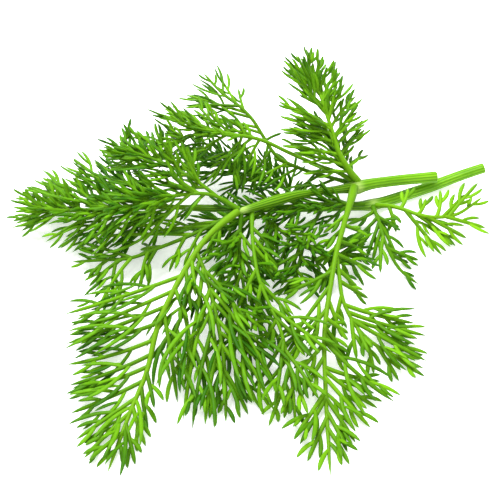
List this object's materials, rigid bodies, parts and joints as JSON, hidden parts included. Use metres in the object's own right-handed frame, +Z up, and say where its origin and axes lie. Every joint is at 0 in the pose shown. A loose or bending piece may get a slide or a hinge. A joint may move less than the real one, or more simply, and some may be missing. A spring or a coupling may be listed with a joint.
{
  "type": "dill bunch",
  "caption": "Bunch of fresh dill lying flat: cut green stems with feathery leaves of fine, forking threads that fan out to the front, the back and both sides.",
  "frame": {"origin": "middle of the bunch's box, on the surface it lies on", "axes": "+X towards the cut ends of the stems, +Y to the back, where the tallest leaf stands, +Z up"},
  "size_m": [0.2012, 0.1734, 0.057],
  "materials": {
    "stem": "moist, softly shining yellow-green skin with fine ribs",
    "leaf": "matte mid green threads on brighter yellow-green leaf stalks"
  },
  "bodies": {
    "root": {"stem_upper": "stem", "stem_lower": "stem", "frond_left": "leaf", "frond_low_left": "leaf", "frond_side_left": "leaf", "frond_upper_left": "leaf", "frond_arch": "leaf", "frond_top": "leaf", "frond_top_right": "leaf", "frond_right": "leaf", "frond_right_front": "leaf", "frond_low_right": "leaf", "frond_centre": "leaf", "frond_front": "leaf", "frond_inner": "leaf", "frond_middle": "leaf", "frond_between": "leaf", "frond_back": "leaf"}
  },
  "joints": []
}
